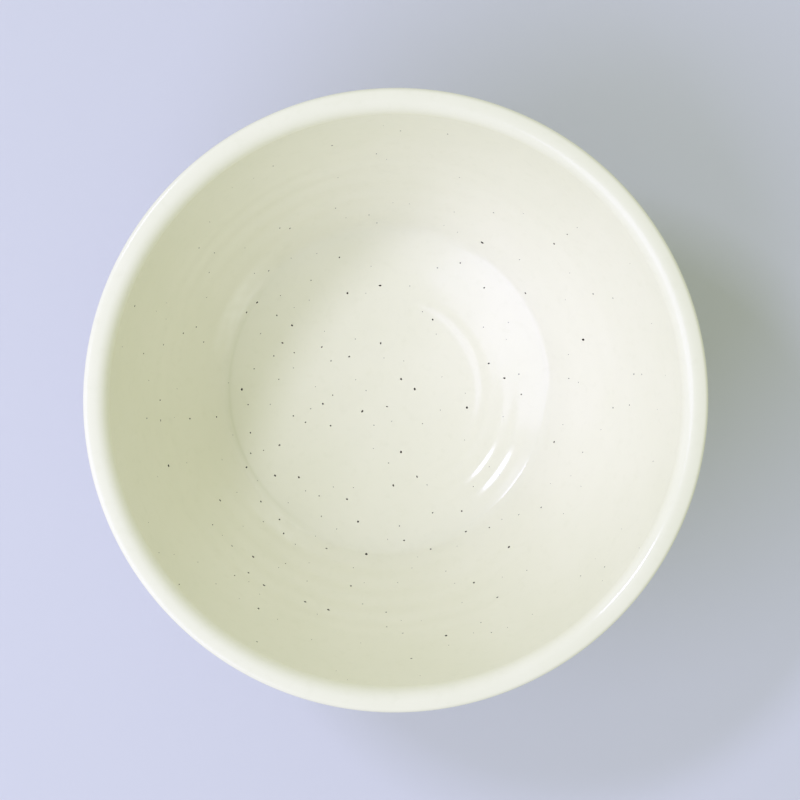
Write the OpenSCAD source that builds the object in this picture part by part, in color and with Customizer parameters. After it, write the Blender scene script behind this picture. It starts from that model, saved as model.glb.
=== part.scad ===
// Soba bowl: stoneware thrown on a wheel, with a flattened lip, a turned foot ring and a cream glaze.
// Every piece is turned about Z. The origin is on the table, under the middle of the foot ring.

/* [Bowl] */
// Diameter over the glazed lip
bowl_d = 165; // [145:1:190]
// Height from the table to the top of the glazed lip
bowl_h = 82; // [70:1:100]

/* [Inside] */
// Diameter of the shallow floor, up to where it starts to turn into the wall
floor_d = 91; // [80:1:98]
// Radius of the floor's hollow
floor_hollow_r = 132; // [100:1:180]
// Radius of the turn from the floor into the wall
heel_r = 8; // [5:1:16]
// Slope of the wall where it leaves that turn, in degrees
heel_slope = 48; // [42:1:55]
// Slope of the wall under the lip, in degrees
lip_slope = 76; // [68:1:84]

/* [Clay] */
// Thickness of the floor at its middle
floor_t = 5.5; // [4:0.5:9]
// Thickness of the wall
wall_t = 4.6; // [3.5:0.1:6]
// Thickness of the lip
lip_t = 5.4; // [4.6:0.1:7]
// Length of wall over which it thickens into the lip
lip_run = 18; // [10:1:30]
// Rounding of the lip's inner shoulder
lip_inner_round = 1.8; // [1:0.1:2.4]
// Rounding of the lip's outer edge
lip_outer_round = 0.8; // [0.5:0.1:1.4]
// Slope of the lip's crown at its inner shoulder, in degrees
lip_rise = 4; // [2:1:8]
// Slope of the lip's crown at its outer edge, in degrees
lip_fall = 12; // [6:1:20]

/* [Foot ring] */
// Outer diameter of the foot ring at the table
foot_d = 74; // [66:1:77]
// Outer diameter of the foot ring where it meets the wall
foot_root_d = 77; // [74:1:86]
// Width of the foot ring
foot_w = 6; // [4:0.5:9]
// Height of the recess inside the foot ring, at its middle
recess_h = 5; // [3:0.5:8]
// Fillet between the foot ring and the wall
foot_fillet = 4; // [2:0.5:5]
// Fillet between the foot ring and the recess
recess_fillet = 3; // [1:0.5:4]
// Rounding of the foot ring's edges on the table
foot_round = 1.2; // [0.5:0.1:1.5]

/* [Throwing rings] */
// Distance from one groove to the next on the floor
floor_pitch = 4.6; // [4:0.2:8]
// Distance from one groove to the next on the wall
wall_pitch = 8; // [6:0.5:11]
// Depth of the grooves on the floor
floor_ring_depth = 0.16; // [0:0.02:0.4]
// Depth of the grooves on the wall inside
wall_ring_depth = 0.24; // [0:0.02:0.4]
// Depth of the grooves outside, after smoothing with a rib
outside_ring_depth = 0.18; // [0:0.02:0.4]
// Distance from the middle of the floor to the first groove
ring_start = 22; // [10:1:32]
// Distance below the lip at which the last groove inside has faded out
ring_stop = 28; // [10:1:40]
// Distance below the lip at which the grooves outside begin
outside_ring_stop = 14; // [6:1:30]
// Length over which the grooves grow and fade
ring_fade = 8; // [4:1:12]
// Height of the ridge in the floor
floor_ridge_h = 0.2; // [0:0.02:0.3]
// Distance from the middle of the floor to that ridge
floor_ridge_at = 27.5; // [20:0.5:36]
// Height of the ridge round the edge of the well, where the floor ends
well_ridge_h = 0.4; // [0:0.02:0.5]

/* [Glaze] */
// Thickness of the glaze
glaze_t = 0.4; // [0.3:0.05:0.8]
// Share of the grooves and ridges that the glaze levels
glaze_levelling = 0.5; // [0:0.05:0.7]
// Height of bare clay above the table on both sides of the foot ring
wiped_h = 3; // [2:0.5:4]
// Length over which the glaze thins out to its wiped edge
glaze_edge = 1.2; // [0.6:0.1:2]

/* [Hidden] */
clay_colour = "#c4a67f";
glaze_colour = "#ebe8d4";
facets = 144;
steps_per_ring = 6;
blend_steps = 8;
ridge_w = 1.5;
well_ridge_off = 0.8;
well_ridge_in = 0.8;
well_ridge_out = 2.5;
// Share of the chord that gives a round stretch of wall between its two slopes
wall_pull = 0.34;
step = floor_pitch / steps_per_ring;
foot_r = foot_d / 2;
foot_inner_r = foot_r - foot_w;
foot_root_r = foot_root_d / 2;

// A station on the profile is [r, z, a]: a point of the clay, and the angle of the way out of it.
function point(p) = [p[0], p[1]];
function points(path) = [for (p = path) point(p)];
function away(p, d) = [p[0] + d * cos(p[2]), p[1] + d * sin(p[2]), p[2]];
function last(list) = list[len(list) - 1];
function tail(list) = [for (i = [1 : 1 : len(list) - 1]) list[i]];
function reversed(list) = [for (i = [len(list) - 1 : -1 : 0]) list[i]];
function smooth(x) = let (u = min(1, max(0, x))) u * u * (3 - 2 * u);
function facing(v) = atan2(v[1], v[0]) + 90;
function arc_length(r, angle) = r * angle * PI / 180;

// A hollow arc from a point, between two slopes
function hollow(start, slope_a, slope_b, r) =
    let (n = ceil(arc_length(r, slope_b - slope_a) / step))
    [for (i = [0 : n])
        let (s = slope_a + (slope_b - slope_a) * i / n)
        [start[0] + r * (sin(s) - sin(slope_a)), start[1] + r * (cos(slope_a) - cos(s)), 90 + s]];

// A stretch of wall from a to b that leaves and arrives at the two slopes
function swept(a, b, slope_a, slope_b) =
    let (pull = wall_pull * norm(b - a))
    let (p = a + pull * [cos(slope_a), sin(slope_a)])
    let (q = b - pull * [cos(slope_b), sin(slope_b)])
    let (n = ceil(norm(b - a) / step))
    [for (i = [0 : n])
        let (t = i / n, u = 1 - t)
        let (at = u * u * u * a + 3 * u * u * t * p + 3 * u * t * t * q + t * t * t * b)
        let (way = u * u * (p - a) + 2 * u * t * (q - p) + t * t * (b - q))
        [at[0], at[1], facing(way)]];

// A soft corner from a to b, drawn towards the corner point c
function blended(a, c, b) =
    [for (i = [0 : blend_steps])
        let (t = i / blend_steps, u = 1 - t)
        let (at = u * u * a + 2 * u * t * c + t * t * b)
        let (way = u * (c - a) + t * (b - c))
        [at[0], at[1], facing(way)]];

// The lip from the inside to the outside: a round shoulder, a nearly flat crown and a tight edge.
// The crown's radius is the one that brings the lip to its thickness.
function spoke(angle) = [cos(angle), sin(angle)];
shoulder_from = 90 + lip_slope;
shoulder_to = 90 + lip_rise;
edge_from = 90 - lip_fall;
edge_to = lip_slope - 90;
across = [sin(lip_slope), -cos(lip_slope)];
shoulder_span = lip_inner_round * (spoke(shoulder_to) - spoke(shoulder_from));
edge_span = lip_outer_round * (spoke(edge_to) - spoke(edge_from));
crown_r = (lip_t - across * (shoulder_span + edge_span)) / (across * (spoke(edge_from) - spoke(shoulder_to)));
crown_centre = [
    bowl_d / 2 - glaze_t - lip_outer_round - (crown_r - lip_outer_round) * cos(edge_from),
    bowl_h - glaze_t - crown_r];
shoulder_centre = crown_centre + (crown_r - lip_inner_round) * spoke(shoulder_to);
edge_centre = crown_centre + (crown_r - lip_outer_round) * spoke(edge_from);
function lip_arc(centre, r, a, b) =
    [for (i = [0 : blend_steps])
        let (angle = a + (b - a) * i / blend_steps)
        let (p = centre + r * spoke(angle))
        [p[0], p[1], angle]];
lip_inside = concat(
    lip_arc(shoulder_centre, lip_inner_round, shoulder_from, shoulder_to),
    tail(lip_arc(crown_centre, crown_r, shoulder_to, 90)));
lip_outside = concat(
    lip_arc(crown_centre, crown_r, 90, edge_from),
    tail(lip_arc(edge_centre, lip_outer_round, edge_from, 0)),
    tail(lip_arc(edge_centre, lip_outer_round, 0, edge_to)));

// Inside of the clay before its rings, from the axis to the lip
floor_slope = asin(floor_d / 2 / floor_hollow_r);
wall_top = point(lip_inside[0]);
floor_path = hollow([0, recess_h + floor_t], 0, floor_slope, floor_hollow_r);
heel_path = hollow(point(last(floor_path)), floor_slope, heel_slope, heel_r);
wall_path = swept(point(last(heel_path)), wall_top, heel_slope, lip_slope);
inner = concat(floor_path, tail(heel_path), tail(wall_path));
inner_n = len(inner);
// Distance of each station from the middle of the floor, along the profile
reach = [for (i = 0, s = 0; i < inner_n;
    s = s + (i + 1 < inner_n ? norm(point(inner[i + 1]) - point(inner[i])) : 0), i = i + 1) s];
full_reach = last(reach);

// Outside of the clay before its rings: the inside set back by the thickness of the clay
function clay_t(i) =
    wall_t
    + (floor_t - wall_t) * (1 - smooth((inner[i][2] - 90) / heel_slope))
    + (lip_t - wall_t) * smooth(1 - (full_reach - reach[i]) / lip_run);
function set_back(p, d) = let (q = away(p, -d)) [q[0], q[1], q[2] - 180];
outer = [for (i = [0 : inner_n - 1]) set_back(inner[i], clay_t(i))];
function outer_point(r) = [r, lookup(r, points(outer))];
fillet_r = foot_root_r + foot_fillet;
fillet_reach = lookup(fillet_r, [for (i = [0 : inner_n - 1]) [outer[i][0], reach[i]]]);

// Throwing rings: low waves along the profile, as the potter's fingers leave them
well_reach = arc_length(floor_hollow_r, floor_slope);
function rings_made(s) = min(s, well_reach) / floor_pitch + max(0, s - well_reach) / wall_pitch;
function ring(s) = cos(360 * rings_made(s)) / 2;
function ridge(off, inner_w, outer_w) = exp(-pow(off / (off < 0 ? inner_w : outer_w), 2));
rings_end = full_reach - ring_stop;
outside_end = full_reach - outside_ring_stop;
function inside_depth(s) = lookup(s, [
    [ring_start, 0],
    [ring_start + ring_fade, floor_ring_depth],
    [well_reach, floor_ring_depth],
    [well_reach + ring_fade, wall_ring_depth],
    [rings_end - ring_fade, wall_ring_depth],
    [rings_end, 0]]);
function outside_depth(s) = lookup(s, [
    [fillet_reach, 0],
    [fillet_reach + ring_fade, outside_ring_depth],
    [outside_end - ring_fade, outside_ring_depth],
    [outside_end, 0]]);
function inside_wave(i) =
    inside_depth(reach[i]) * ring(reach[i])
    + floor_ridge_h * ridge(reach[i] - floor_ridge_at, ridge_w, ridge_w)
    + well_ridge_h * ridge(reach[i] - well_reach - well_ridge_off, well_ridge_in, well_ridge_out);
function outside_wave(i) = outside_depth(reach[i]) * ring(reach[i]);
// Thickness of the glaze over a wave, thin on the ridges and thick in the grooves
function glaze_over(wave) = glaze_t - glaze_levelling * wave;
// Thickness of the glaze at a distance from its wiped edge, with a rounded end
function glaze_near(d) = let (u = min(1, d / glaze_edge)) glaze_t * sqrt(1 - (1 - u) * (1 - u));

// Foot ring: its leaning outer side, the table and the upright inner side
root = outer_point(foot_root_r);
foot_corner = [foot_r, 0];
side_way = (root - foot_corner) / norm(root - foot_corner);
side_angle = facing(-side_way);
function side_at(z) = foot_corner + side_way * z / side_way[1];
fillet_path = blended(outer_point(fillet_r), root, root - foot_fillet * side_way);
edge_shares = [for (i = [0 : blend_steps]) 1 - cos(90 * i / blend_steps)];
outer_edge_path = [for (u = reversed(edge_shares))
    let (p = side_at(wiped_h) + side_way * u * glaze_edge) [p[0], p[1], side_angle]];
inner_edge_path = [for (u = edge_shares) [foot_inner_r, wiped_h + u * glaze_edge, 180]];
inner_corner = [foot_inner_r, 0];
foot_path = concat(
    blended(foot_corner + foot_round * side_way, foot_corner, foot_corner - [foot_round, 0]),
    blended(inner_corner + [foot_round, 0], inner_corner, inner_corner + [0, foot_round]));

// Recess under the floor, hollowed like the floor so that the clay is even there
function recess_z(r) = recess_h + floor_hollow_r - sqrt(floor_hollow_r * floor_hollow_r - r * r);
recess_r = foot_inner_r - recess_fillet;
recess_root = [foot_inner_r, recess_z(foot_inner_r)];
recess_corner = blended(recess_root - [0, recess_fillet], recess_root, [recess_r, recess_z(recess_r)]);
recess_path = [for (i = [blend_steps - 1 : -1 : 0])
    let (r = recess_r * i / blend_steps) [r, recess_z(r), asin(r / floor_hollow_r) - 90]];

// Each skin is a list of [station, thickness of the glaze on it]
inside_skin = concat(
    [for (i = [0 : inner_n - 1]) let (w = inside_wave(i)) [away(inner[i], w), glaze_over(w)]],
    [for (p = tail(lip_inside)) [p, glaze_t]]);
outside_skin = concat(
    [for (p = lip_outside) [p, glaze_t]],
    [for (i = [inner_n - 1 : -1 : 0])
        let (w = outside_wave(i))
        if (outer[i][0] > fillet_r + step / 2) [away(outer[i], w), glaze_over(w)]],
    [for (p = fillet_path) [p, glaze_t]],
    [for (i = [0 : blend_steps])
        [outer_edge_path[i], glaze_near(glaze_edge * edge_shares[blend_steps - i])]]);
base_skin = concat(
    [for (i = [0 : blend_steps]) [inner_edge_path[i], glaze_near(glaze_edge * edge_shares[i])]],
    [for (p = concat(recess_corner, recess_path)) [p, glaze_t]]);
function seat(skin) = [for (s = skin) point(s[0])];
function face(skin) = [for (s = skin) if (s[1] > 0) point(away(s[0], s[1]))];

module turned(outline) {
    rotate_extrude($fn = facets)
        polygon(outline);
}

module glaze(skin) {
    color(glaze_colour)
        turned(concat(seat(skin), reversed(face(skin))));
}

module clay_body() {
    color(clay_colour)
        turned(concat(seat(inside_skin), tail(seat(outside_skin)), points(foot_path), seat(base_skin)));
}

module inside_glaze() {
    glaze(inside_skin);
}

module outside_glaze() {
    glaze(outside_skin);
}

module base_glaze() {
    glaze(base_skin);
}

clay_body();
inside_glaze();
outside_glaze();
base_glaze();
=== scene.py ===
import math

import bpy
import numpy as np
from mathutils import Matrix, Vector, noise


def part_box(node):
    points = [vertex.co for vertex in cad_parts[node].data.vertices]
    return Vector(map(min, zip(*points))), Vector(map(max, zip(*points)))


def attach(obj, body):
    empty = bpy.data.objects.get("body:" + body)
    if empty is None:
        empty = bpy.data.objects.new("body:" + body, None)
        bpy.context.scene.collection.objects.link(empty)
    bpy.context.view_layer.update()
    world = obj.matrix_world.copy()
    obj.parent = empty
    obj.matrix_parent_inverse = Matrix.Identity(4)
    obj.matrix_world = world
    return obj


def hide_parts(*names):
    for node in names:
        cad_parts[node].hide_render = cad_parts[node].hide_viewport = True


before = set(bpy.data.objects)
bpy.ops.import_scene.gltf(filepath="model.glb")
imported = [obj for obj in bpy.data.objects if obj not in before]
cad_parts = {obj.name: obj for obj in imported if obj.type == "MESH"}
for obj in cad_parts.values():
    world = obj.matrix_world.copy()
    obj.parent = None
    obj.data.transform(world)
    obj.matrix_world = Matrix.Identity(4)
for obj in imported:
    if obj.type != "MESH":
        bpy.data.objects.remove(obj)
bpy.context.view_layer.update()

# Clay body. One lump of buff stoneware: floor, wall and flattened lip were thrown in one go on the
# wheel, and the foot ring was turned from the thick base once the clay was leather hard. Glaze
# covers all of it but the ring that the bowl stands on.
mm = 0.001
bowl_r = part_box("outside_glaze")[1][0]
bowl_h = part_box("outside_glaze")[1][2]
glaze_t = bowl_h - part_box("clay_body")[1][2]
floor_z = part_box("inside_glaze")[0][2]
floor_r = 45.5 * mm
hollow_r = 132 * mm
heel_r = 6 * mm
heel_slope = 48
lip_slope = 76
wall_pull = 0.34
floor_t = 5.5 * mm
wall_t = 4.6 * mm
lip_t = 5.4 * mm
lip_run = 18 * mm
lip_inner_round = 3.6 * mm
lip_outer_round = 0.8 * mm
lip_rise = 4
lip_fall = 8
recess_h = floor_z - floor_t
foot_r = 37 * mm
foot_root_r = 38.5 * mm
foot_inner_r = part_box("base_glaze")[1][0]
foot_fillet = 4 * mm
recess_fillet = 3 * mm
foot_round = 1.2 * mm
wiped_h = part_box("outside_glaze")[0][2]
glaze_edge = 1.2 * mm
arc_points = 200


def heading(slope):
    """The unit vector at a slope in degrees."""
    return np.array([math.cos(math.radians(slope)), math.sin(math.radians(slope))])


def hollow(start, slope_a, slope_b, radius):
    """An arc from a point of the profile, hollow side up, between two slopes."""
    turn = np.radians(np.linspace(slope_a, slope_b, arc_points))
    arms = radius * np.column_stack([np.sin(turn), -np.cos(turn)])
    return start + arms - arms[0]


def rounded(centre, radius, angle_a, angle_b):
    """An arc about a centre, from one angle to another."""
    turn = np.radians(np.linspace(angle_a, angle_b, arc_points))
    return centre + radius * np.column_stack([np.cos(turn), np.sin(turn)])


def drawn(*points):
    """A curve from the first point to the last, drawn towards the points between them."""
    share = np.linspace(0, 1, arc_points)[:, None]
    hulls = [np.asarray(p) for p in points]
    while len(hulls) > 1:
        hulls = [(1 - share) * a + share * b for a, b in zip(hulls, hulls[1:])]
    return hulls[0]


def run_of(path):
    """How far along the path each of its points lies."""
    return np.r_[0, np.cumsum(np.linalg.norm(np.diff(path, axis=0), axis=1))]


def even(path, step):
    """The path with its points at an even spacing of about step."""
    run = run_of(path)
    at = np.linspace(0, run[-1], math.ceil(run[-1] / step) + 1)
    return np.column_stack([np.interp(at, run, path[:, k]) for k in (0, 1)])


def joined(*paths):
    """Paths end to end, with each shared end kept once."""
    return np.vstack([paths[0]] + [p[1:] for p in paths[1:]])


def ways_out(path):
    """Unit vectors out of the clay, which lies to the right of the path."""
    way = np.gradient(path, axis=0)
    way /= np.linalg.norm(way, axis=1)[:, None]
    return np.column_stack([-way[:, 1], way[:, 0]])


def smooth(x):
    """0 up to 0 and 1 from 1 on, with a soft rise between them."""
    x = np.clip(x, 0, 1)
    return x * x * (3 - 2 * x)


# The profile goes from the middle of the floor up the inside, over the lip, down the outside,
# round the foot ring and under the floor to the axis again.
up = np.array([0, 1])
along = np.array([1, 0])
across = -heading(lip_slope + 90)
shoulder_turn = (90 + lip_slope, 90 + lip_rise)
edge_turn = (90 - lip_fall, lip_slope - 90)
shoulder_span = lip_inner_round * (heading(shoulder_turn[1]) - heading(shoulder_turn[0]))
edge_span = lip_outer_round * (heading(edge_turn[1]) - heading(edge_turn[0]))
crown_span = heading(edge_turn[0]) - heading(shoulder_turn[1])
crown_r = (lip_t - across @ (shoulder_span + edge_span)) / (across @ crown_span)
crown_centre = np.array([
    bowl_r - glaze_t - lip_outer_round - (crown_r - lip_outer_round) * heading(edge_turn[0])[0],
    bowl_h - glaze_t - crown_r,
])
edge_centre = crown_centre + (crown_r - lip_outer_round) * heading(edge_turn[0])
shoulder_centre = crown_centre + (crown_r - lip_inner_round) * heading(shoulder_turn[1])
wall_top = shoulder_centre + lip_inner_round * heading(shoulder_turn[0])
floor_slope = math.degrees(math.asin(floor_r / hollow_r))
floor_path = hollow(floor_z * up, 0, floor_slope, hollow_r)
heel_path = hollow(floor_path[-1], floor_slope, heel_slope, heel_r)
wall_foot = heel_path[-1]
pull = wall_pull * np.linalg.norm(wall_top - wall_foot)
wall_path = drawn(
    wall_foot, wall_foot + pull * heading(heel_slope), wall_top - pull * heading(lip_slope), wall_top
)
inner_path = joined(floor_path, heel_path, wall_path)
inner_run = run_of(inner_path)
inner_out = ways_out(inner_path)
inner_slope = np.degrees(np.arctan2(-inner_out[:, 0], inner_out[:, 1]))
clay_t = (
    wall_t
    + (floor_t - wall_t) * (1 - smooth(inner_slope / heel_slope))
    + (lip_t - wall_t) * smooth(1 - (inner_run[-1] - inner_run) / lip_run)
)
outer_path = inner_path - inner_out * clay_t[:, None]

fillet_r = foot_root_r + foot_fillet
fillet_top = np.array([fillet_r, np.interp(fillet_r, *outer_path.T)])
foot_root = np.array([foot_root_r, np.interp(foot_root_r, *outer_path.T)])
foot_corner = foot_r * along
foot_side = (foot_root - foot_corner) / np.linalg.norm(foot_root - foot_corner)
fillet_end = foot_root - foot_fillet * foot_side
wiped_out = foot_corner + foot_side * wiped_h / foot_side[1]
edge_out = wiped_out + glaze_edge * foot_side
inner_corner = foot_inner_r * along
wiped_in = inner_corner + wiped_h * up
edge_in = wiped_in + glaze_edge * up
recess_r = foot_inner_r - recess_fillet
recess_path = hollow(recess_h * up, 0, math.degrees(math.asin(recess_r / hollow_r)), hollow_r)[::-1]
recess_root = np.array([foot_inner_r, recess_h + hollow_r - math.sqrt(hollow_r**2 - foot_inner_r**2)])
recess_end = recess_root - recess_fillet * up

# Stations lie closest where the surface turns most and where the narrow reflections fall.
wall_step = 0.55 * mm
fine_step = 0.18 * mm
edge_step = 0.08 * mm
edge_points = 6
inside_path = joined(
    even(floor_path[: 1 - edge_points], wall_step),
    even(floor_path[-edge_points:], edge_step),
    even(heel_path, edge_step),
    even(wall_path, wall_step),
    even(rounded(shoulder_centre, lip_inner_round, *shoulder_turn), fine_step),
    even(rounded(crown_centre, crown_r, shoulder_turn[1], 90), fine_step),
)
lip_edge = rounded(edge_centre, lip_outer_round, *edge_turn)
outside_path = joined(
    even(rounded(crown_centre, crown_r, 90, edge_turn[0]), fine_step),
    even(lip_edge, fine_step),
    even(np.vstack([lip_edge[-1], outer_path[outer_path[:, 0] > fillet_r][::-1], fillet_top]), wall_step),
    even(drawn(fillet_top, foot_root, fillet_end), fine_step),
    even(np.array([fillet_end, edge_out]), wall_step),
    even(np.array([edge_out, wiped_out]), edge_step),
)
outer_turn = (foot_corner + foot_round * foot_side, foot_corner, foot_corner - foot_round * along)
inner_turn = (inner_corner + foot_round * along, inner_corner, inner_corner + foot_round * up)
foot_path = joined(
    even(np.array([wiped_out, outer_turn[0]]), fine_step),
    even(drawn(*outer_turn), fine_step),
    even(np.array([outer_turn[-1], inner_turn[0]]), fine_step),
    even(drawn(*inner_turn), fine_step),
    even(np.array([inner_turn[-1], wiped_in]), fine_step),
)
base_path = joined(
    even(np.array([wiped_in, edge_in]), edge_step),
    even(np.array([edge_in, recess_end]), wall_step),
    even(drawn(recess_end, recess_root, recess_path[0]), fine_step),
    even(recess_path, wall_step),
)
bowl_path = joined(inside_path, outside_path, foot_path, base_path)
bowl_out = ways_out(bowl_path)
bowl_out[0] = up
bowl_out[-1] = -up
crest, outer_wipe, inner_wipe = np.cumsum([len(p) - 1 for p in (inside_path, outside_path, foot_path)])
inside_out = bowl_out[: crest + 1]
outside_out = bowl_out[crest : outer_wipe + 1]
base_out = bowl_out[inner_wipe:]

turns = 288
angles = np.linspace(0, 2 * math.pi, turns, endpoint=False)
spokes = np.column_stack([np.cos(angles), np.sin(angles)])
# A ring narrower than nowhere is one point on the axis. Each map has a middle and a radius.
nowhere = 1e-7
face_map = (0.5, 0.49)
hidden_map = (0.065, 0.06)
sharp_edge = 40


def raised(path, out, lift):
    """The path moved out by lift[i, j] at station i and angle j."""
    stations = path[:, None, :] + out[:, None, :] * lift[:, :, None]
    stations[..., 0] = np.maximum(stations[..., 0], 0)
    return stations


def dish_reach(path):
    """How far from the middle of a round map each station lies, from 0 to 1."""
    run = run_of(path)
    if path[0, 0] > path[-1, 0]:
        run = run[-1] - run
    run = run + min(path[0, 0], path[-1, 0])
    return run / run.max()


def turned(name, face, hidden):
    """Turns a closed outline about the axis: the face that shows, and what lies behind it.
    Both hold the (r, z) of each station at each angle. The face fills a round texture map, and
    the hidden side has a small one in its corner."""
    stations = np.concatenate([face, hidden])
    shown = len(face)
    verts, rows = [], []
    for ring in stations:
        if ring[:, 0].max() < nowhere:
            rows.append(np.full(turns, len(verts)))
            verts.append((0, 0, ring[0, 1]))
        else:
            rows.append(np.arange(turns) + len(verts))
            verts += zip(*(ring[:, :1] * spokes).T, ring[:, 1])
    pairs = [(i, i + 1) for i in range(len(rows) - 1)]
    if len(set(rows[0])) > 1:
        pairs.append((len(rows) - 1, 0))
    face_reach = dish_reach(face[:, 0])
    hidden_reach = np.r_[np.ones(shown), np.linspace(1, 0, len(hidden) + 2)[1:-1]]
    here, there = np.arange(turns), np.roll(np.arange(turns), -1)
    faces, spots = [], []
    for a, b in pairs:
        seen = a < b < shown
        middle, radius, reach = (*face_map, face_reach) if seen else (*hidden_map, hidden_reach)
        corners = [(a, here), (b, here), (b, there), (a, there)]
        if len(set(rows[a])) == 1:
            corners.pop(3)
        if len(set(rows[b])) == 1:
            corners.pop(2)
        if len(corners) > 2:
            faces += np.stack([rows[i][turn] for i, turn in corners], 1).tolist()
            spots.append(np.stack([middle + radius * reach[i] * spokes[turn] for i, turn in corners], 1))
    mesh = bpy.data.meshes.new(name)
    mesh.from_pydata(verts, [], faces)
    bake_map = mesh.uv_layers.new(name="OFBake")
    bake_map.data.foreach_set("uv", np.concatenate([s.ravel() for s in spots]).astype("f"))
    mesh.shade_smooth()
    mesh.set_sharp_from_angle(angle=math.radians(sharp_edge))
    piece = bpy.data.objects.new(name, mesh)
    bpy.context.scene.collection.objects.link(piece)
    return piece


def flat(path):
    """The same stations at every angle."""
    return np.repeat(path[:, None, :], turns, axis=1)


def add(tree, kind, links=None, **settings):
    """Adds a node with its settings, and sets or links its inputs."""
    new = tree.nodes.new(kind)
    for key, value in settings.items():
        setattr(new, key, value)
    for key, source in (links or {}).items():
        if isinstance(source, bpy.types.NodeSocket):
            tree.links.new(source, new.inputs[key])
        else:
            new.inputs[key].default_value = source
    return new


def paint(code):
    """The linear colour of an sRGB hex value."""
    parts = [int(code[i : i + 2], 16) / 255 for i in (1, 3, 5)]
    return tuple(c / 12.92 if c <= 0.04045 else ((c + 0.055) / 1.055) ** 2.4 for c in parts) + (1,)


def empty_tree(owner):
    """The node tree of a material or a world, with nothing in it yet."""
    owner.use_nodes = True
    owner.node_tree.nodes.clear()
    return owner.node_tree


# Bare stoneware, fired: dry and buff, with a sandy grain, a few iron grains and a warm flush
# where the fire toasted the clay beside the glaze. To the eye it is matt next to the gloss.
sand_width = 0.45 * mm
sand_depth = 0.12 * mm
iron_spacing = 2.2 * mm
patch_width = 14 * mm
# The Mix node's inputs and output for colours go by number.
factor, first, second, mixed = 0, 6, 7, 2
stoneware = bpy.data.materials.new("bare_stoneware")
tree = empty_tree(stoneware)
place = add(tree, "ShaderNodeTexCoord").outputs["Object"]
patches = add(tree, "ShaderNodeTexNoise", {"Vector": place, "Scale": 1 / patch_width, "Detail": 2.0})
buff = add(
    tree,
    "ShaderNodeMix",
    {factor: patches.outputs["Fac"], first: paint("#d3bb95"), second: paint("#bd9f77")},
    data_type="RGBA",
)
height = add(tree, "ShaderNodeSeparateXYZ", {"Vector": place}).outputs["Z"]
toasting = add(
    tree,
    "ShaderNodeMapRange",
    {"Value": height, "From Min": 0.3 * wiped_h, "From Max": wiped_h, "To Max": 0.75},
    interpolation_type="SMOOTHSTEP",
)
toasted = add(
    tree,
    "ShaderNodeMix",
    {factor: toasting.outputs["Result"], first: buff.outputs[mixed], second: paint("#b5835a")},
    data_type="RGBA",
)
irons = add(tree, "ShaderNodeTexVoronoi", {"Vector": place, "Scale": 1 / iron_spacing})
iron_spots = add(
    tree,
    "ShaderNodeMapRange",
    {"Value": irons.outputs["Distance"], "From Min": 0.16, "From Max": 0.1, "To Max": 0.8},
)
speckled = add(
    tree,
    "ShaderNodeMix",
    {factor: iron_spots.outputs["Result"], first: toasted.outputs[mixed], second: paint("#5a4330")},
    data_type="RGBA",
)
sand = add(tree, "ShaderNodeTexNoise", {"Vector": place, "Scale": 1 / sand_width, "Detail": 3.0})
sandy = add(
    tree,
    "ShaderNodeBump",
    {"Height": sand.outputs["Fac"], "Strength": 0.5, "Distance": sand_depth},
)
shader = add(
    tree,
    "ShaderNodeBsdfPrincipled",
    {
        "Base Color": speckled.outputs[mixed],
        "Roughness": 0.85,
        "IOR": 1.5,
        "Normal": sandy.outputs["Normal"],
    },
)
add(tree, "ShaderNodeOutputMaterial", {"Surface": shader.outputs["BSDF"]})

covered_path = np.concatenate([base_path[1:], inside_path, outside_path[1:-1]])
clay_body = turned("clay_body", flat(foot_path), flat(covered_path))
clay_body.data.materials.append(stoneware)
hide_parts("clay_body")
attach(clay_body, "root")

# Inside glaze. A cream glaze poured into the biscuit-fired bowl, swilled round and poured out. It
# levels the potter's finger rings without hiding them, and in the fire it runs a little. Along the
# crease at the foot of the wall, on the left side, it is darker and greener.
floor_pitch = 5.1 * mm
wall_pitch = 8.0 * mm
floor_ring_depth = 0.205 * mm
floor_ring_start = -0.95
wall_ring_depth = 0.14 * mm
ring_stop = 28 * mm
ring_fade = 8 * mm
ring_wander = 45 * mm
ring_sway = 0.9
floor_ridge_h = 0.145 * mm
floor_ridge_w = 1.5 * mm
floor_ridge_at = 27.5 * mm
floor_ridge_sway = 0.8 * mm
floor_ridge_turn = 0.5
well_ridge_h = 0.25 * mm
well_ridge_in = 0.8 * mm
well_ridge_out = 2.5 * mm
well_ridge_off = 0.8 * mm
crease_slope = 0.2
crease_w = 2.0 * mm
dark_crease_w = 0.7 * mm
dark_crease_share = 0.4
highlight_width = 2.5 * mm
highlight_share = 0.6
highlight_spread = 0.35
# How strongly the rings show along the floor, and the painted highlight on the shelf beside the well,
# by places in mm: along the profile for the floor, and out from the axis for the shelf.
floor_stations, floor_shares = [24, 33, 36, 40.8, 44.5], [0, 0.92, 0.94, 0.75, 0]
shelf_stations, shelf_shares = [46.5, 47.5, 51, 52.5], [0, 1, 1, 0]


def wander(path, width):
    """Slow variation over the turned surface, from about -1 to 1, with waves of that width."""
    return np.array(
        [[noise.noise(Vector((r * c, r * s, z)) / width) for c, s in spokes] for r, z in path]
    )


def around(bearing, spread):
    """1 at a bearing in degrees, and down to 0 at that spread to both sides of it."""
    off = np.abs((np.degrees(angles) - bearing + 180) % 360 - 180)
    return smooth(1 - off / spread)


def rings(run, pitch, start, sway):
    """The spiral of low waves, 1 from hollow to crest, that the fingers leave as the clay turns
    and the hand moves outward."""
    return np.cos(2 * math.pi * run[:, None] / pitch + angles + start + sway) / 2


def ridge(run, at, width_in, width_out):
    """A low rounded ridge, 1 high, with a flank of its own width to each side."""
    off = run[:, None] - at
    return np.exp(-((off / np.where(off < 0, width_in, width_out)) ** 2))


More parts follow.
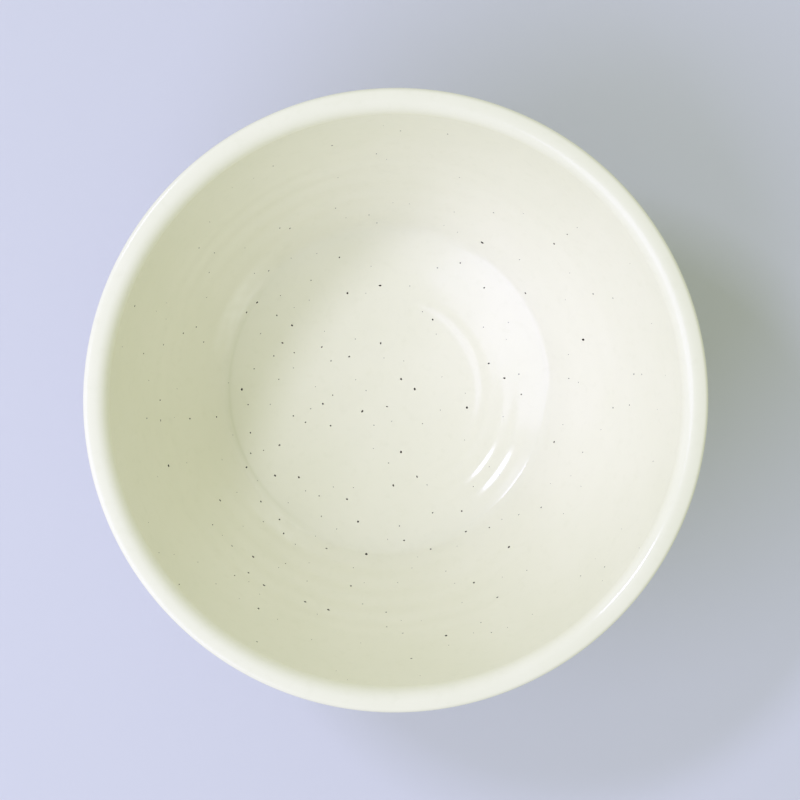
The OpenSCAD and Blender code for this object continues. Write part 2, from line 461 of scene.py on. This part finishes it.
inside_run = run_of(inside_path)
well_run = run_of(floor_path)[-1]
rings_end = inner_run[-1] - ring_stop
sway = wander(inside_path, ring_wander)
on_floor = np.interp(inside_run / mm, floor_stations, floor_shares)
on_wall = np.interp(
    inside_run, [well_run, well_run + ring_fade, rings_end - ring_fade, rings_end], [0, 1, 1, 0]
)
# The hand pressed unevenly and the glaze ran unevenly, so each ring, ridge and crease shows most on
# some sides. The darker crease line and the painted highlight on the shelf lie on some sides only.
floor_ring_side = 0.1 + 0.9 * around(-40, 45)
wall_ring_sides = 0.3 + 1.2 * around(118, 60) + 1.0 * around(255, 65)
floor_ridge_sides = around(18, 115) + 0.5 * around(-18, 35)
well_side = around(190, 65)
crease_side = around(-40, 50)
highlight_sides = around(151, 24) + 0.6 * around(231, 20)
floor_depth = floor_ring_depth * np.outer(on_floor, floor_ring_side)
wall_depth = wall_ring_depth * np.outer(on_wall, wall_ring_sides)
floor_ridge_line = floor_ridge_at - floor_ridge_sway * np.sin(angles - floor_ridge_turn)
floor_ridge = ridge(inside_run, floor_ridge_line, floor_ridge_w, floor_ridge_w)
past_well = np.maximum(inside_run - well_run, 0)
well_ridge = ridge(inside_run, well_run + well_ridge_off, well_ridge_in, well_ridge_out)
inside_lift = (
    floor_depth * rings(inside_run, floor_pitch, floor_ring_start, 0)
    + wall_depth * rings(inside_run, wall_pitch, 0, ring_sway * sway)
    + floor_ridge_h * floor_ridge_sides * floor_ridge
    + well_ridge_h * (0.1 + 0.9 * well_side) * well_ridge
    + np.outer(crease_slope * past_well * np.exp(-past_well / crease_w), crease_side)
)
inside_face = raised(inside_path, inside_out, glaze_t + inside_lift)
# Darker and greener along the crease at the foot of the wall, on the left side only.
dark_crease = dark_crease_share * well_side * ridge(inside_run, well_run, dark_crease_w, dark_crease_w)
# Painted highlight: the glaze is made paler in a patch on the shelf just outside the well, at two
# bearings, in place of the light that catches the glaze there.
on_shelf = np.interp(inside_path[:, 0] / mm, shelf_stations, shelf_shares)
painted_highlight = np.outer(on_shelf, highlight_sides)
painted_highlight *= np.clip(highlight_share + highlight_spread * wander(inside_path, highlight_width), 0, 1)

# Cream glaze, fired glossy: a pale ivory glass over buff clay. It gives a soft milky body with sharp
# window reflections and faint mottling. It is darker and greener along the crease at the foot of the
# wall on the left, and a pale patch of painted highlight lies on the shelf beside the well.
cloud_width = 22 * mm
mottle_width = 2.5 * mm
peel_width = 3.5 * mm
peel_depth = 0.03 * mm
cream_glaze = bpy.data.materials.new("cream_glaze")
tree = empty_tree(cream_glaze)
place = add(tree, "ShaderNodeTexCoord").outputs["Object"]
clouds = add(tree, "ShaderNodeTexNoise", {"Vector": place, "Scale": 1 / cloud_width, "Detail": 3.0})
cream = add(
    tree,
    "ShaderNodeMix",
    {factor: clouds.outputs["Fac"], first: paint("#f2f0dc"), second: paint("#ebead2")},
    data_type="RGBA",
)
mottles = add(tree, "ShaderNodeTexNoise", {"Vector": place, "Scale": 1 / mottle_width, "Detail": 4.0})
mottling = add(
    tree,
    "ShaderNodeMapRange",
    {"Value": mottles.outputs["Fac"], "From Min": 0.55, "From Max": 0.8, "To Max": 0.25},
)
body = add(
    tree,
    "ShaderNodeMix",
    {factor: mottling.outputs["Result"], first: cream.outputs[mixed], second: paint("#e3e2c9")},
    data_type="RGBA",
)
# Darker and greener along the crease at the foot of the wall.
dark_creases = add(tree, "ShaderNodeAttribute", attribute_name="dark_crease")
crease_darkened = add(
    tree,
    "ShaderNodeMix",
    {factor: dark_creases.outputs["Fac"], first: body.outputs[mixed], second: paint("#d9dabd")},
    data_type="RGBA",
)
# Painted highlight: a paler glaze colour on the shelf beside the well.
highlight_marks = add(tree, "ShaderNodeAttribute", attribute_name="painted_highlight")
highlighted = add(
    tree,
    "ShaderNodeMix",
    {factor: highlight_marks.outputs["Fac"], first: crease_darkened.outputs[mixed], second: paint("#fbfaea")},
    data_type="RGBA",
)
peel = add(tree, "ShaderNodeTexNoise", {"Vector": place, "Scale": 1 / peel_width, "Detail": 1.0})
peeled = add(
    tree,
    "ShaderNodeBump",
    {"Height": peel.outputs["Fac"], "Strength": 0.25, "Distance": peel_depth},
)
shader = add(
    tree,
    "ShaderNodeBsdfPrincipled",
    {
        "Base Color": highlighted.outputs[mixed],
        "Roughness": 0.13,
        "IOR": 1.36,
        "Normal": peeled.outputs["Normal"],
    },
)
add(tree, "ShaderNodeOutputMaterial", {"Surface": shader.outputs["BSDF"]})

inside_glaze = turned("inside_glaze", inside_face, flat(inside_path[::-1]))
# The first station is the one point on the axis, and the hidden side has neither the darker crease
# line nor the painted highlight.
for name, amount in (("dark_crease", dark_crease), ("painted_highlight", painted_highlight)):
    layer = inside_glaze.data.attributes.new(name, "FLOAT", "POINT")
    values = np.r_[0, amount[1:].ravel()]
    layer.data.foreach_set("value", np.pad(values, (0, len(layer.data) - len(values))))
inside_glaze.data.materials.append(cream_glaze)
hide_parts("inside_glaze")
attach(inside_glaze, "root")

# Outside glaze. The bowl was held by its foot and dipped to the line where the glaze was then
# wiped off, so that the foot would not stick to the kiln shelf. The rings are fainter outside,
# where a rib smoothed the wall.
outside_ring_depth = 0.09 * mm
lip_clearance = 14 * mm
outside_run = run_of(outside_path)
foot_run = outside_run[np.argmin(np.abs(outside_path[:, 0] - fillet_r))]


def toward_edge(path, edge):
    """Glaze thickness along a path that ends at a wiped edge, where the glaze has a round end."""
    near = np.clip(np.linalg.norm(path - edge, axis=1) / glaze_edge, 0, 1)
    return glaze_t * np.sqrt(1 - (1 - near) ** 2)


on_outside = np.interp(
    outside_run, [lip_clearance, lip_clearance + ring_fade, foot_run - ring_fade, foot_run], [0, 1, 1, 0]
)
outside_sway = ring_sway * wander(outside_path, ring_wander)
outside_rings = outside_ring_depth * on_outside[:, None] * rings(outside_run, wall_pitch, 0, outside_sway)
outside_t = toward_edge(outside_path, wiped_out)[:, None]
outside_face = raised(outside_path, outside_out, outside_t + outside_rings)
outside_glaze = turned("outside_glaze", outside_face, flat(outside_path[-2::-1]))
outside_glaze.data.materials.append(cream_glaze)
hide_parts("outside_glaze")
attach(outside_glaze, "root")

# Base glaze. A patch of the same glaze brushed into the recess inside the foot ring, up to the
# wiped edge, so that the underside is sealed and only the ring itself is bare.
base_t = np.repeat(toward_edge(base_path, wiped_in)[:, None], turns, axis=1)
base_face = raised(base_path, base_out, base_t)
base_glaze = turned("base_glaze", base_face, flat(base_path[:0:-1]))
base_glaze.data.materials.append(cream_glaze)
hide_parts("base_glaze")
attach(base_glaze, "root")

# Iron specks. Grains of iron in the clay that melted through the glaze in the fire. Each is a flat
# brown-black bead, half sunk in the glaze. The plainest are listed, at a radius in mm and a
# bearing in degrees, and the rest are scattered.
plain_specks = [
    (5, 31), (8, 358), (10, 224), (13, 98), (19, 194), (19, 282), (22, 147), (24, 346), (30, 94),
    (30, 112), (33, 146), (34, 250), (35, 207), (36, 225), (39, 257), (42, 180), (48, 262), (50, 57),
    (56, 308), (57, 15), (57, 213), (59, 294), (60, 230), (62, 43), (63, 248), (63, 254), (64, 236),
    (65, 197), (68, 282), (69, 238),
]
# Radii in mm, of the plain specks and of the rest. A plain speck on the wall looks as large as one
# on the floor, although the wall is seen at a slant, so it is larger.
plain_size = (0.29, 0.43)
wall_speck_gain = 1.2
grain_least, grain_spread = 0.12, 0.24
speck_sides = 8
speck_stretch = (0.75, 1.3)
speck_ragged = (0.8, 1.15)
speck_dip = 0.01 * mm
speck_rise = 0.07 * mm
speck_root = 0.15 * mm
speck_reach = 76 * mm
speck_gap = 3.5 * mm
fewest_at, fewest = 45, 0.35
inside_count, outside_count, base_count = 270, 190, 22
chance = np.random.default_rng(7)


def spot(face, outs, i, j, radius):
    """Where a speck sits: its middle, the ways out of the glaze and round the bowl, its radius."""
    r, z = face[i, j]
    c, s = spokes[j]
    out = Vector((outs[i, 0] * c, outs[i, 0] * s, outs[i, 1]))
    return Vector((r * c, r * s, z)), out, Vector((-s, c, 0)), radius


def beads(name, spots, material):
    """Lens-shaped beads, each turned and drawn out a little differently."""
    verts, faces = [], []
    for middle, out, side, radius in spots:
        rise = out.cross(side)
        start = len(verts)
        stretch = chance.uniform(*speck_stretch)
        for turn in np.linspace(0, 2 * math.pi, speck_sides, endpoint=False) + chance.uniform(0, 6):
            reach = radius * chance.uniform(*speck_ragged)
            spoke = side * math.cos(turn) * reach * stretch + rise * math.sin(turn) * reach / stretch
            verts.append(middle + spoke - out * speck_dip)
        verts.append(middle + out * speck_rise)
        verts.append(middle - out * speck_root)
        for k in range(speck_sides):
            a, b = start + k, start + (k + 1) % speck_sides
            faces.append((a, b, start + speck_sides))
            faces.append((b, a, start + speck_sides + 1))
    mesh = bpy.data.meshes.new(name)
    mesh.from_pydata(verts, [], faces)
    mesh.shade_smooth()
    mesh.materials.append(material)
    piece = bpy.data.objects.new(name, mesh)
    bpy.context.scene.collection.objects.link(piece)
    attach(piece, "root")


def at_angle(bearing):
    """The number of the spoke closest to a bearing in degrees."""
    return int(round(bearing / 360 * turns)) % turns


def seen_at(r, bearing, radius):
    """A speck inside the bowl, at a place seen from above."""
    i = int(np.argmin(np.abs(inside_path[:, 0] - r)))
    return spot(inside_face, inside_out, i, at_angle(bearing), radius)


def grain():
    """The radius of a speck: many small ones and a few large."""
    return (grain_least + grain_spread * chance.uniform(0, 1) ** 2) * mm


def among(spots, count, apart):
    """More specks strewn over the inside, fewest about one bearing, and not in clumps."""
    spots = list(spots)
    while len(spots) < count:
        r = speck_reach * math.sqrt(chance.uniform(0, 1))
        bearing = chance.uniform(0, 360)
        lean = 0.5 - 0.5 * math.cos(math.radians(bearing - fewest_at))
        new = seen_at(r, bearing, grain())
        clear = all((new[0] - old[0]).length > apart for old in spots)
        if clear and chance.uniform(0, 1) < fewest + (1 - fewest) * lean:
            spots.append(new)
    return spots


def strewn(face, outs, run, start, end, count):
    """Specks strewn evenly over the part of a face between two places along its path."""
    widest = face[:, :, 0].max()
    spots = []
    while len(spots) < count:
        i = int(np.argmin(np.abs(run - chance.uniform(start, end))))
        j = int(chance.integers(turns))
        if chance.uniform(0, widest) < face[i, j, 0]:
            spots.append(spot(face, outs, i, j, grain()))
    return spots


# Melted iron: nearly black brown, with the gloss of the glaze that it melted into.
rust_width = 6 * mm
iron = bpy.data.materials.new("melted_iron")
tree = empty_tree(iron)
place = add(tree, "ShaderNodeTexCoord").outputs["Object"]
rusts = add(tree, "ShaderNodeTexNoise", {"Vector": place, "Scale": 1 / rust_width, "Detail": 2.0})
rusted = add(
    tree,
    "ShaderNodeMix",
    {factor: rusts.outputs["Fac"], first: paint("#0f0b07"), second: paint("#382a1b")},
    data_type="RGBA",
)
shader = add(
    tree,
    "ShaderNodeBsdfPrincipled",
    {"Base Color": rusted.outputs[mixed], "Roughness": 0.4, "IOR": 1.35},
)
add(tree, "ShaderNodeOutputMaterial", {"Surface": shader.outputs["BSDF"]})

plain = []
for r, bearing in plain_specks:
    gain = wall_speck_gain if r * mm > floor_r else 1
    plain.append(seen_at(r * mm, bearing, chance.uniform(*plain_size) * gain * mm))
base_run = run_of(base_path)
beads("inside_specks", among(plain, inside_count, speck_gap), iron)
on_wall_outside = strewn(outside_face, outside_out, outside_run, lip_clearance, foot_run, outside_count)
beads("outside_specks", on_wall_outside, iron)
under_floor = strewn(base_face, base_out, base_run, 2 * glaze_edge, base_run[-1], base_count)
beads("base_specks", under_floor, iron)

# Table. A plain pale matt surface, which takes the bowl's shadow. It is far wider than the bowl, so
# that its edge stays out of low views.
table_size = 30.0
tabletop = bpy.data.materials.new("plain_table")
tabletop.use_nodes = True
shader = tabletop.node_tree.nodes["Principled BSDF"]
shader.inputs["Base Color"].default_value = paint("#cfd1d8")
shader.inputs["Roughness"].default_value = 0.9
half = table_size / 2
mesh = bpy.data.meshes.new("table")
corners = [(-half, -half, 0), (half, -half, 0), (half, half, 0), (-half, half, 0)]
mesh.from_pydata(corners, [], [(0, 1, 2, 3)])
mesh.materials.append(tabletop)
table = bpy.data.objects.new("table", mesh)
bpy.context.scene.collection.objects.link(table)

# Light. A plain pale room with two sources of daylight on the left: a wide window, which shows as a
# crescent in the glaze, and a narrow bright one behind it, which shows as short streaks.
room = bpy.data.worlds.new("room")
tree = empty_tree(room)
sky = add(tree, "ShaderNodeBackground", {"Color": paint("#c9cfbc"), "Strength": 1.0})
add(tree, "ShaderNodeOutputWorld", {"Surface": sky.outputs["Background"]})
bpy.context.scene.world = room
rim_middle = Vector((0, 0, bowl_h))


def window(name, bearing, elevation, distance, width, height, power, colour):
    """A bright rectangle that faces the bowl. The bearing is counted from +X towards +Y."""
    turn, rise = math.radians(bearing), math.radians(elevation)
    way = Vector((math.cos(turn) * math.cos(rise), math.sin(turn) * math.cos(rise), math.sin(rise)))
    glow = bpy.data.lights.new(name, "AREA")
    glow.shape = "RECTANGLE"
    glow.size, glow.size_y = width, height
    glow.energy = power
    glow.color = paint(colour)[:3]
    lamp = bpy.data.objects.new(name, glow)
    lamp.location = rim_middle + way * distance
    lamp.rotation_euler = (-way).to_track_quat("-Z", "Y").to_euler()
    bpy.context.scene.collection.objects.link(lamp)


window(
    "wide_window", bearing=212, elevation=47, distance=1.2, width=1.0, height=0.92, power=10.0,
    colour="#ccc8ff",
)
window(
    "narrow_window", bearing=145.2, elevation=51.5, distance=1.5, width=0.28, height=0.16, power=7.1,
    colour="#d4d2ff",
)

# Camera. It looks almost straight down, from a little to the left of the bowl's axis and behind it.
# The size and place of the rim in the frame give the lens and the aim.
camera_from = Vector((-32 * mm, 43 * mm, 800 * mm))
rim_px = 313.5
rim_middle_px = (397.5, 402.5)
frame_px = 800
per_px = bowl_r / rim_px
off_px = (frame_px / 2 - rim_middle_px[0], rim_middle_px[1] - frame_px / 2)
aim = Vector((off_px[0] * per_px, off_px[1] * per_px, bowl_h))
lens = bpy.data.cameras.new("camera")
lens.angle = 2 * math.atan(frame_px / 2 * per_px / (camera_from - aim).length)
camera = bpy.data.objects.new("camera", lens)
back = (camera_from - aim).normalized()
right = Vector((0, 1, 0)).cross(back).normalized()
turned_to = Matrix((right, back.cross(right), back)).transposed().to_4x4()
camera.matrix_world = Matrix.Translation(camera_from) @ turned_to
bpy.context.scene.collection.objects.link(camera)
bpy.context.scene.camera = camera
bpy.context.scene.view_settings.view_transform = "Standard"
